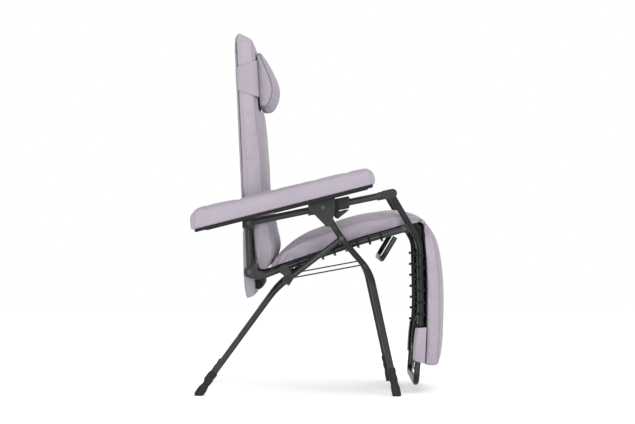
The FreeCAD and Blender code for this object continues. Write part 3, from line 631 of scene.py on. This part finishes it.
cushion = Pad("seat_leg_cushion", [
    # lower side, upper side, half width, crown, side bulge, pinch
    (-154, 403, -147, 430, 208, 4, 0, 0.0), (-128, 414, -116, 457, 216, 9, 2, 0.0),
    (-88, 429, -82, 479, 220, 11, 2, 0.0), (-40, 445, -38, 501, 221, 12, 2, 0.0),
    (30, 469.0, 18, 522, 221, 11, 2, 0.0), (92, 490.0, 84, 546, 221, 11, 2, 0.0),
    (150, 509, 142, 562, 221, 11, 2, 0.0), (208, 525.5, 203, 572, 221, 11, 2, 0.0),
    (252, 537, 250, 579, 220, 10, 0, 0.03), (283, 545, 286, 582, 218, 9, 0, 0.1),
    (303, 546, 310, 581, 216, 8, 0, 0.1), (320, 549, 328, 575, 213, 7, 0, 0.15),
    (332, 553, 339, 568, 211, 5, 0, 0.3), (339, 555, 348, 558, 210, 4, 0, 0.4),
    (341, 547, 357, 544, 213, 6, 0, 0.2), (343, 530, 368, 528, 223, 9, 0, 0.05),
    (345, 503, 378, 500, 235, 9, 0, 0.0), (349, 460, 387, 458, 242, 8, 1, 0.0),
    (353, 380, 396, 380, 243, 8, 2, 0.0), (353.5, 290, 399, 290, 243, 8, 2, 0.0),
    (352, 200, 397, 199, 243, 8, 2, 0.0), (349, 130, 393, 128, 242, 8, 2, 0.0),
    (346.5, 94, 391, 94, 241, 6, 1, 0.0),
], counts=(124, 56, 8), radius=10)
inflate(cushion, pins(cushion, ("w0",)), cap=9, slack=0.012)
seat_seams = [cushion.line(v=side * cushion.counts[1], w=cushion.counts[2]) for side in (0, 1)]
seat_seams += [cushion.line(u=end * cushion.counts[0], w=cushion.counts[2]) for end in (0, 1)]
dress(cushion.item, leather)
cushion.back_with(mesh_fabric)
refine(cushion.item)
for sign in (-1, 1):
    # the cover gathers where it folds over the front rail
    pinch = (sign * 211, 341, 558)
    for reach, depth, wide in (((sign * 217, 290, 562), 5.0, 4), ((sign * 214, 280, 577), 3.4, 5),
                               ((sign * 170, 300, 588), 3.0, 6), ((sign * 120, 332, 582), 4.0, 6),
                               ((sign * 60, 347, 566), 3.6, 7), ((sign * 190, 366, 544), 3.6, 5),
                               ((sign * 230, 356, 516), 5.0, 4), ((sign * 241, 360, 468), 3.6, 5),
                               ((sign * 236, 374, 484), 3.2, 5)):
        crease(cushion.item, pinch, reach, depth, wide)
    # and where the back cushion presses on its rear corners
    corner = (sign * 208, -146, 410)
    for reach, depth, wide in (((sign * 220, -118, 452), 4.0, 4), ((sign * 218, -96, 446), 3.0, 5),
                               ((sign * 218, -70, 448), 2.4, 6), ((sign * 170, -120, 466), 2.6, 6),
                               ((sign * 212, -130, 440), 3.2, 4)):
        crease(cushion.item, corner, reach, depth, wide)
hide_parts("seat_cushion", "leg_cushion")
cushion_thread = sew("seat_leg_stitching", cushion, seat_seams)

# a black sheet under the knee: the cushion's black backing gathered there, and painted shade that darkens the
# fold
backing_and_painted_shade = Pad("knee_backing_and_painted_shade", [
    (258, 531, 256, 538, 202, 0, 0, 0.0), (286, 536, 285, 545, 206, 0, 0, 0.0),
    (309, 533, 314, 553, 208, 1, 0, 0.0), (323, 518, 334, 546, 208, 1, 0, 0.0),
    (331, 492, 341, 506, 208, 1, 0, 0.0), (338, 462, 345, 464, 204, 0, 0, 0.0),
], counts=(40, 40, 4), radius=4)
refine(backing_and_painted_shade.item)
dress(backing_and_painted_shade.item, mesh_fabric)

# ---------------------------------------------------------------- back

back = Pad("back_cushion_cover", [
    (-190, 404, -165, 404, 198, 1, 0, 0.0), (-195, 425, -152, 426, 208, 7, 0, 0.0),
    (-202, 470, -144, 466, 217, 15, 2, 0.0), (-208, 535, -153, 536, 219, 12, 2, 0.0),
    (-212, 580, -161, 582, 222, 11, 2, 0.0), (-236, 606, -165, 606, 238, 12, 0, 0.0),
    (-240.5, 640, -173, 640, 244, 12, 1, 0.0), (-245.5, 758, -181, 758, 244.5, 11, 1, 0.0),
    (-251.5, 893, -197, 893, 244.5, 15, 1, 0.0), (-255.5, 975, -202, 975, 244.5, 5, 1, 0.0),
    (-260, 1079, -204, 1079, 244.5, 3, 1, 0.0), (-262, 1122, -208, 1110, 244.5, 3, 1, 0.0),
    (-263, 1150, -209, 1134, 244, 3, 0, 0.0), (-259, 1171, -213, 1149, 242, 2, 0, 0.0),
], counts=(112, 60, 9), radius=7, crown_power=4.0)
inflate(back, pins(back, ("w0", "u1")), cap=7, slack=0.01)
back_seams = [back.line(v=side * back.counts[1], w=back.counts[2]) for side in (0, 1)]
back_seams += [back.line(u=back.counts[0], w=end * back.counts[2]) for end in (0, 1)]
SLEEVE_HEM = 612  # the side seams start above the hem of the sleeve
side_seams = [back.line(v=side * back.counts[1], w=2) for side in (0, 1)]
side_seams = [line[line[:, 2] > SLEEVE_HEM] for line in side_seams]
refine(back.item)

# the headrest's band draws the back cushion in over the whole of its travel
draw_in(back.item, (918, 1138), 245.4, (920, 1135), (-192.5, -204))
for line in side_seams:
    press(back.item, even_line(line, 2.5), 1.2, 2.6)
for sign in (-1, 1):
    # the cover puckers where it is drawn down to the rear of the seat
    for start, end, depth in (((sign * 205, -190, 405), (sign * 220, -186, 470), 3.0),
                              ((sign * 206, -180, 405), (sign * 221, -172, 466), 3.6),
                              ((sign * 206, -170, 404), (sign * 221, -156, 458), 3.6),
                              ((sign * 200, -160, 406), (sign * 214, -140, 460), 3.2),
                              ((sign * 190, -158, 406), (sign * 150, -128, 470), 2.6)):
        crease(back.item, start, end, depth, 5)
dress(back.item, leather)
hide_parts("back_cushion")
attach(back.item, "back")
sew("back_stitching", back, back_seams, "back")

cover = Pad("back_cover_flap", [
    (-229, 309, -203, 320, 212, 3, 0, 0.0), (-234, 335, -202, 342, 217, 3, 1, 0.0),
    (-237.5, 372, -206, 380, 218, 2, 1, 0.0), (-239.5, 430, -212, 436, 218, 1, 0, 0.0),
    (-240.5, 500, -218, 502, 218, 0, 0, 0.0), (-241, 560, -228, 560, 218, 0, 0, 0.0),
    (-242, 596, -236, 596, 219, 0, 0, 0.0), (-243.5, 616, -239, 616, 244, 0, 0, 0.0),
    (-246, 670, -241.6, 670, 246, 0, 0, 0.0), (-252, 800, -247.5, 800, 246, 0, 0, 0.0),
    (-260, 975, -255.6, 975, 246, 0, 0, 0.0), (-264.4, 1080, -260.2, 1080, 246, 0, 0, 0.0),
    (-266.8, 1135, -262.6, 1135, 246, 0, 0, 0.0), (-264.5, 1160, -260, 1158, 244, 0, 0, 0.0),
], counts=(120, 56, 3), radius=3)
inflate(cover, pins(cover, ("w1", "v0", "v1"), face_level=0.8), cap=2.5, pressure=2.0, slack=0.008)
cover_seams = [cover.line(v=side * cover.counts[1], w=0) for side in (0, 1)]
cover_seams.append(cover.line(u=6, w=0))
refine(cover.item)
dress(cover.item, cover_leather)
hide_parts("back_cover")
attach(cover.item, "back")
sew("cover_stitching", cover, cover_seams, "back", 0.8, 2.4)

roll = Pad("back_strap_roll", [
    (-205.5, 371, -188, 373, 199, 0, 0, 0.0), (-205.5, 362, -178.5, 366, 200, 1, 0, 0.0),
    (-204.5, 350, -175, 352, 200, 1, 0, 0.0), (-203.5, 340, -187, 336, 199, 0, 0, 0.0),
], counts=(10, 44, 6), radius=8)
refine(roll.item)
dress(roll.item, mesh_fabric)
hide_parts("back_strap")
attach(roll.item, "back")

# ---------------------------------------------------------------- headrest

pillow = Pad("headrest_pillow_cover", [
    (-188.0, 927, -177, 925, 184, 9, 0, 0.0), (-188.8, 943, -162, 937, 188, 15, 0, 0.0),
    (-190.0, 961, -152, 957, 189, 18, 1, 0.0), (-191.6, 982, -147, 981, 189, 18, 1, 0.0),
    (-193.3, 1008, -148.5, 1007, 189, 16, 1, 0.0), (-195.3, 1038, -158, 1037, 189, 13, 1, 0.0),
    (-197.5, 1070, -171, 1069, 189, 10, 1, 0.0), (-199.0, 1094, -182, 1095, 188, 6, 0, 0.0),
    (-199.0, 1113, -191, 1115, 184, 3, 0, 0.0),
], counts=(44, 72, 8), radius=9, crown_power=7.0, inset=9)
inflate(pillow, pins(pillow, ("w0",)), cap=6, slack=0.015)
pillow_seams = [pillow.arch(side * pillow.counts[1]) for side in (0, 1)]
refine(pillow.item)
for line in pillow_seams:
    press(pillow.item, even_line(line, 2.5), 1.8, 3.2)
dress(pillow.item, leather)
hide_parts("headrest_pillow")
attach(pillow.item, "headrest")
for number, line in enumerate(pillow_seams):
    spots, normals = nearest(pillow.item, even_line(line[2:-2], 4))
    piping = dress(tube_mesh(f"headrest_piping_{number}", spots + normals * 0.2, 1.9), seam_thread)
    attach(piping, "headrest")


def loop_sheet(name, corners, low, high, thick, rounding=14, closed=True, rows=10, bulge=0.0):
    """A band of cloth round the chair. Its corners are (across, forward, share of the way to the front,
    how far its top leans forward of its bottom); low and high are the heights of its edges, each at the
    rear and at the front; bulge is how far the cloth swells out between them."""
    arc_steps, step, half_loop = 7, 16, 248
    count = len(corners)
    line = []
    for number, corner in enumerate(corners):
        before, after = corners[number - 1], corners[(number + 1) % count]
        if not closed and number in (0, count - 1):
            line.append(corner)
            continue
        corner = np.array(corner, float)
        back_run, ahead_run = np.array(before) - corner, np.array(after) - corner
        start = corner + back_run * rounding / np.linalg.norm(back_run[:2])
        end = corner + ahead_run * rounding / np.linalg.norm(ahead_run[:2])
        for t in np.linspace(0, 1, arc_steps):
            line.append((1 - t) ** 2 * start + 2 * t * (1 - t) * corner + t * t * end)
    line = np.array(line, float)
    if closed:
        line = np.vstack([line, line[:1]])
    run = np.concatenate([[0], np.cumsum(np.linalg.norm(np.diff(line[:, :2], axis=0), axis=1))])
    spots = np.unique(np.concatenate([run, np.arange(0, run[-1], step)]))
    line = np.stack([np.interp(spots, run, line[:, k]) for k in range(4)], 1)
    if closed:
        line, spots = line[:-1], spots[:-1]
    total = len(line)
    points, faces, uvs = [], [], []
    for number, (across, forward, share, lean) in enumerate(line):
        for row in range(rows + 1):
            h = row / rows
            bottom = low[0] + (low[1] - low[0]) * share
            top = high[0] + (high[1] - high[0]) * share
            up = bottom * (1 - h) + top * h
            swell = bulge * sin(pi * h)
            ahead = lean * (h - 0.5) - swell * (1 - share) * 0.5
            points.append((across * (1 + swell / half_loop), forward + ahead, up))
            uvs.append((spots[number], up))
    for number in range(total if closed else total - 1):
        a, b = number * (rows + 1), (number + 1) % total * (rows + 1)
        for row in range(rows):
            faces.append((a + row, b + row, b + row + 1, a + row + 1))
    item = new_mesh(name, points, faces, uvs)
    thicken = item.modifiers.new("Cloth", "SOLIDIFY")
    thicken.thickness, thicken.offset = thick * MM, 0.0
    soften = item.modifiers.new("Soft edge", "BEVEL")
    soften.width, soften.segments, soften.limit_method = thick * 0.3 * MM, 2, "ANGLE"
    apply_modifiers(item)
    return item


BAND_HALF = 247.8
band_corners = [(-BAND_HALF, -194.0, 1, -7.5), (-BAND_HALF, -263.4, 0, -3.4),
                (BAND_HALF, -263.4, 0, -3.4), (BAND_HALF, -194.0, 1, -7.5)]
band = loop_sheet("headrest_band_cloth", band_corners, (985, 962), (1056, 1081), thick=1.8)
dress(band, cover_leather)
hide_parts("headrest_band")
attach(band, "headrest")

# ---------------------------------------------------------------- arm pads

ARM_MIDDLE = 330
ARM_REAR = (-396, 533.8)  # forward and up at the rear end of the boards' top
ARM_RISE = 0.2525
ARM_ROWS = (  # lower forward, upper forward, upper up, half width, crown
    (-401, -405, 576, 46, 2), (-390, -390, 590.5, 49, 5), (-345, -345, 604, 49, 6),
    (-250, -247, 626.5, 49, 6), (-139, -139, 653, 49, 6), (-11, -11, 684, 49, 6), (90, 90, 708.5, 49, 6),
    (140, 138, 719, 49, 6), (166, 160, 722, 48.5, 5), (178, 175, 715, 48, 2), (182, 182.5, 701, 46.5, 1),
)


def board_top(forward):
    return ARM_REAR[1] + (forward - ARM_REAR[0]) * ARM_RISE


for side, sign in (("left", 1), ("right", -1)):
    rows = [(lower, board_top(lower) + 0.3, upper, up, half, crown, 0.5, 0.0)
            for lower, upper, up, half, crown in ARM_ROWS]
    pad = Pad(f"arm_pad_cover_{side}", rows, counts=(92, 18, 9), radius=7, middle=sign * ARM_MIDDLE,
              crown_power=2.6)
    inflate(pad, pins(pad, ("w0",)), cap=3.0, slack=0.008)
    arm_seams = [pad.belt(3), pad.belt(pad.counts[0] - 4)]
    refine(pad.item)
    dress(pad.item, leather)
    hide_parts(f"arm_pad_{side}")
    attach(pad.item, "arm_carriers")
    sew(f"arm_stitching_{side}", pad, arm_seams, "arm_carriers", 1.3, 2.6)

# ---------------------------------------------------------------- slings and lacing

TUBE_RADIUS = 10


def seat_rail(forward):
    """The seat rail's centre line, as (forward, up)."""
    return np.array([forward, np.interp(forward, (-168, -56, 121, 288), (386.5, 429, 489, 537))])


def rest_tube(up):
    """The centre line of the leg rest's side tube, as (forward, up)."""
    return np.array([np.interp(up, (53.2, 271, 488), (320.3, 337, 332)), up])


def lace_spots(tube, first, pitch, count):
    """Where the laces go round a tube: pairs of the place and the way the tube runs, as (forward, up)."""
    spots = []
    for number in range(count):
        spot = first + pitch * number
        run = tube(spot + 5) - tube(spot - 5)
        spots.append((tube(spot), run / hypot(*run)))
    return spots


def eyelet(centre, normal, ahead, radius=4.6, wire=1.5):
    """A ring round a hole in a sling."""
    normal, ahead = np.array(normal, float), np.array(ahead, float)
    other = np.cross(normal, ahead)
    turns = np.arange(16) * 2 * pi / 16
    line = [np.array(centre) + radius * (ahead * cos(t) + other * sin(t)) for t in turns]
    return tube_mesh("eyelet", line, wire, closed=True, sides=8)


def lace_loop(tube, eye_across, ahead, normal, cord=1.9, apart=2.1, sag=4.8):
    """Two strands of elastic cord from an eyelet round a tube; ahead runs along the tube, normal out of
    the sling. They hang off the tube's far side by sag."""
    out = np.array([np.sign(tube[0]), 0, 0])
    reach = abs(tube[0]) - eye_across
    wrap = TUBE_RADIUS + cord + 0.3
    strands = []
    for shift in (-apart, apart):
        line = []
        for along, high in ((-reach - 2.5, 8.2), (-reach + 1, 11.2), (-reach * 0.5, wrap - 0.3)):
            line.append(tube + out * along + normal * high)
        for turn in np.linspace(pi / 2, -pi / 2 - 0.5, 12):
            slack = sag * max(0.0, -sin(turn))
            line.append(tube + wrap * out * cos(turn) + (wrap * sin(turn) - slack) * normal)
        for along, high in ((-reach * 0.6, -1.5), (-reach + 2, 5.5)):
            line.append(tube + out * along + normal * high)
        line = even_line(line, 3.0, closed=True) + ahead * shift
        for _ in range(2):
            line = (np.roll(line, 1, 0) + 2 * line + np.roll(line, -1, 0)) / 4
        strands.append(tube_mesh("strand", line, cord, closed=True, sides=8))
    return strands


SITTER_SIDE = (0, 0.5, 0.6)  # roughly out of both slings, towards the sitter
EYELET_LIFT = 9.4


def laced_sling(name, path, half, spots, tube_across, eye_across, body, nodes):
    """A black sling with hems and eyelets, and the cord loops that hold it to its tubes at the spots. It
    stands for the two nodes: the sling's and the lacing's."""
    sling = ribbon_mesh(name, path, half, thick=1.6, counts=(50, 30))
    dress(sling, mesh_fabric)
    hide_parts(nodes[0])
    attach(sling, body)
    rings, strands = [], []
    for sign in (-1, 1):
        hem = np.array([(sign * (half - 1.2), f, u) for f, u in path])
        rings.append(tube_mesh("hem", even_line(hem, 8), 2.2, sides=8))
        for place, way in spots:
            ahead = np.array([0, *way])
            normal = np.array([0, -way[1], way[0]])
            if normal @ SITTER_SIDE < 0:
                normal = -normal
            rings.append(eyelet(np.array([sign * eye_across, *place]) + normal * EYELET_LIFT, normal, ahead))
            strands += lace_loop(np.array([sign * tube_across, *place]), eye_across, ahead, normal)
    hardware = dress(join(name + "_eyelets", rings), eyelet_metal)
    laces = dress(join(name + "_lacing", strands), cord_black)
    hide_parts(nodes[1])
    for piece in (hardware, laces):
        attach(piece, body)


seat_path = [seat_rail(forward) + (0, 8.6) for forward in (-146, -100, -56, 32, 121, 190, 258)]
laced_sling("seat_sling_cloth", seat_path, 219, lace_spots(seat_rail, -62, 38, 8), 258, 213, "seat",
            ("seat_sling", "seat_lacing"))
leg_path = [rest_tube(up) + (9, 0) for up in (470, 380, 330, 271, 170, 78)]
laced_sling("leg_sling_cloth", leg_path, 199, lace_spots(rest_tube, 449, -38, 7), 236, 193, "leg_rest",
            ("leg_sling", "leg_lacing"))

# ---------------------------------------------------------------- leg pockets, strap and buckle

for side, sign in (("left", 1), ("right", -1)):
    # front edge, rear corner, inner edge
    corners = [(sign * 247.2, 349.5, 1, 5.5), (sign * 248.2, 315.5, 0.4, 8), (sign * 205, 315.5, 0, 8)]
    pocket = loop_sheet(f"leg_pocket_{side}", corners, (117, 99), (213, 217), thick=2.8, closed=False,
                        bulge=3.5, rounding=11)
    dress(pocket, leather)
    if sign > 0:
        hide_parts("leg_band")
    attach(pocket, "leg_rest")

STRAP_HALF, STRAP_THICK = 19, 1.5
strap_path = [(341, 262), (334, 248), (324, 226), (318.5, 200), (316.5, 170), (316, 130), (317.5, 62)]
strap = ribbon_mesh("leg_strap_webbing", strap_path, STRAP_HALF, STRAP_THICK, counts=(60, 8),
                    wave=lambda share: 1.2 * sin(9 * share))
tail_path = [(319.6, 152), (320.5, 120), (322.5, 92), (324, 64)]
tail = ribbon_mesh("leg_strap_tail", tail_path, STRAP_HALF, STRAP_THICK, counts=(30, 8),
                   wave=lambda share: 1.5 * sin(5 * share))
for piece in (strap, tail):
    dress(piece, webbing)
    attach(piece, "leg_rest")
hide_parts("leg_strap")
BUCKLE_FORWARD = 317.5
buckle_bars = []
for height, forward, radius in ((127, BUCKLE_FORWARD, 2.4), (137, 315.0, 2.0), (148, BUCKLE_FORWARD, 2.4)):
    bar = [(x, forward, height) for x in (-22, 22)]
    buckle_bars.append(tube_mesh("bar", even_line(bar, 4), radius))
for sign in (-1, 1):
    cheek = [(sign * 22.5, BUCKLE_FORWARD, height) for height in (124, 151)]
    buckle_bars.append(tube_mesh("cheek", even_line(cheek, 4), 3.0))
buckle = dress(join("strap_buckle_frame", buckle_bars), buckle_plastic)
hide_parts("strap_buckle")
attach(buckle, "leg_rest")

# ---------------------------------------------------------------- stage, light, camera

WHITE = (1.0, 1.0, 1.0, 1.0)
FLOOR_HALF = 6000
floor_corners = [(x * FLOOR_HALF, y * FLOOR_HALF, 0) for x, y in ((-1, -1), (1, -1), (1, 1), (-1, 1))]
floor = new_mesh("floor", floor_corners, [(0, 1, 2, 3)])
floor.data.materials.append(surface("floor_pale", srgb(243, 243, 243), srgb(247, 247, 247), 2, (0.8, 0.9), [],
                                    Emission_Color=WHITE, Emission_Strength=0.25))

world = bpy.data.worlds.new("studio")
scene.world = world
world.use_nodes = True
sky = world.node_tree.nodes["Background"]
sky.inputs["Color"].default_value = WHITE
sky.inputs["Strength"].default_value = 1.0

EYE_HEIGHT = 0.59
CAMERA_AWAY = 7.0
LIGHT_TARGET = (0, 0, 0.6)


def area_light(name, place, size, power):
    """A rectangular light that faces the chair."""
    data = bpy.data.lights.new(name, "AREA")
    data.shape, data.size, data.size_y, data.energy = "RECTANGLE", size[0], size[1], power
    item = bpy.data.objects.new(name, data)
    item.location = place
    item.rotation_euler = (Vector(LIGHT_TARGET) - Vector(place)).to_track_quat("-Z", "Y").to_euler()
    scene.collection.objects.link(item)


area_light("key", (-3.6, -1.4, 3.2), (1.6, 1.6), 55)
area_light("front", (-6.2, 0.9, 1.3), (2.2, 1.8), 125)

camera_data = bpy.data.cameras.new("camera")
camera_data.lens, camera_data.sensor_width = 118.5, 36
camera = bpy.data.objects.new("camera", camera_data)
camera.location = (-CAMERA_AWAY, 0.0, EYE_HEIGHT)
camera.rotation_euler = (radians(90), 0, radians(-90))
scene.collection.objects.link(camera)
scene.camera = camera
scene.view_settings.view_transform = "Standard"

# ---------------------------------------------------------------- the seat and leg cushion, its stitches and the sheet under the knee, with their placement baked into their meshes

for piece in (cushion.item, cushion_thread, backing_and_painted_shade.item):
    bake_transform(piece)
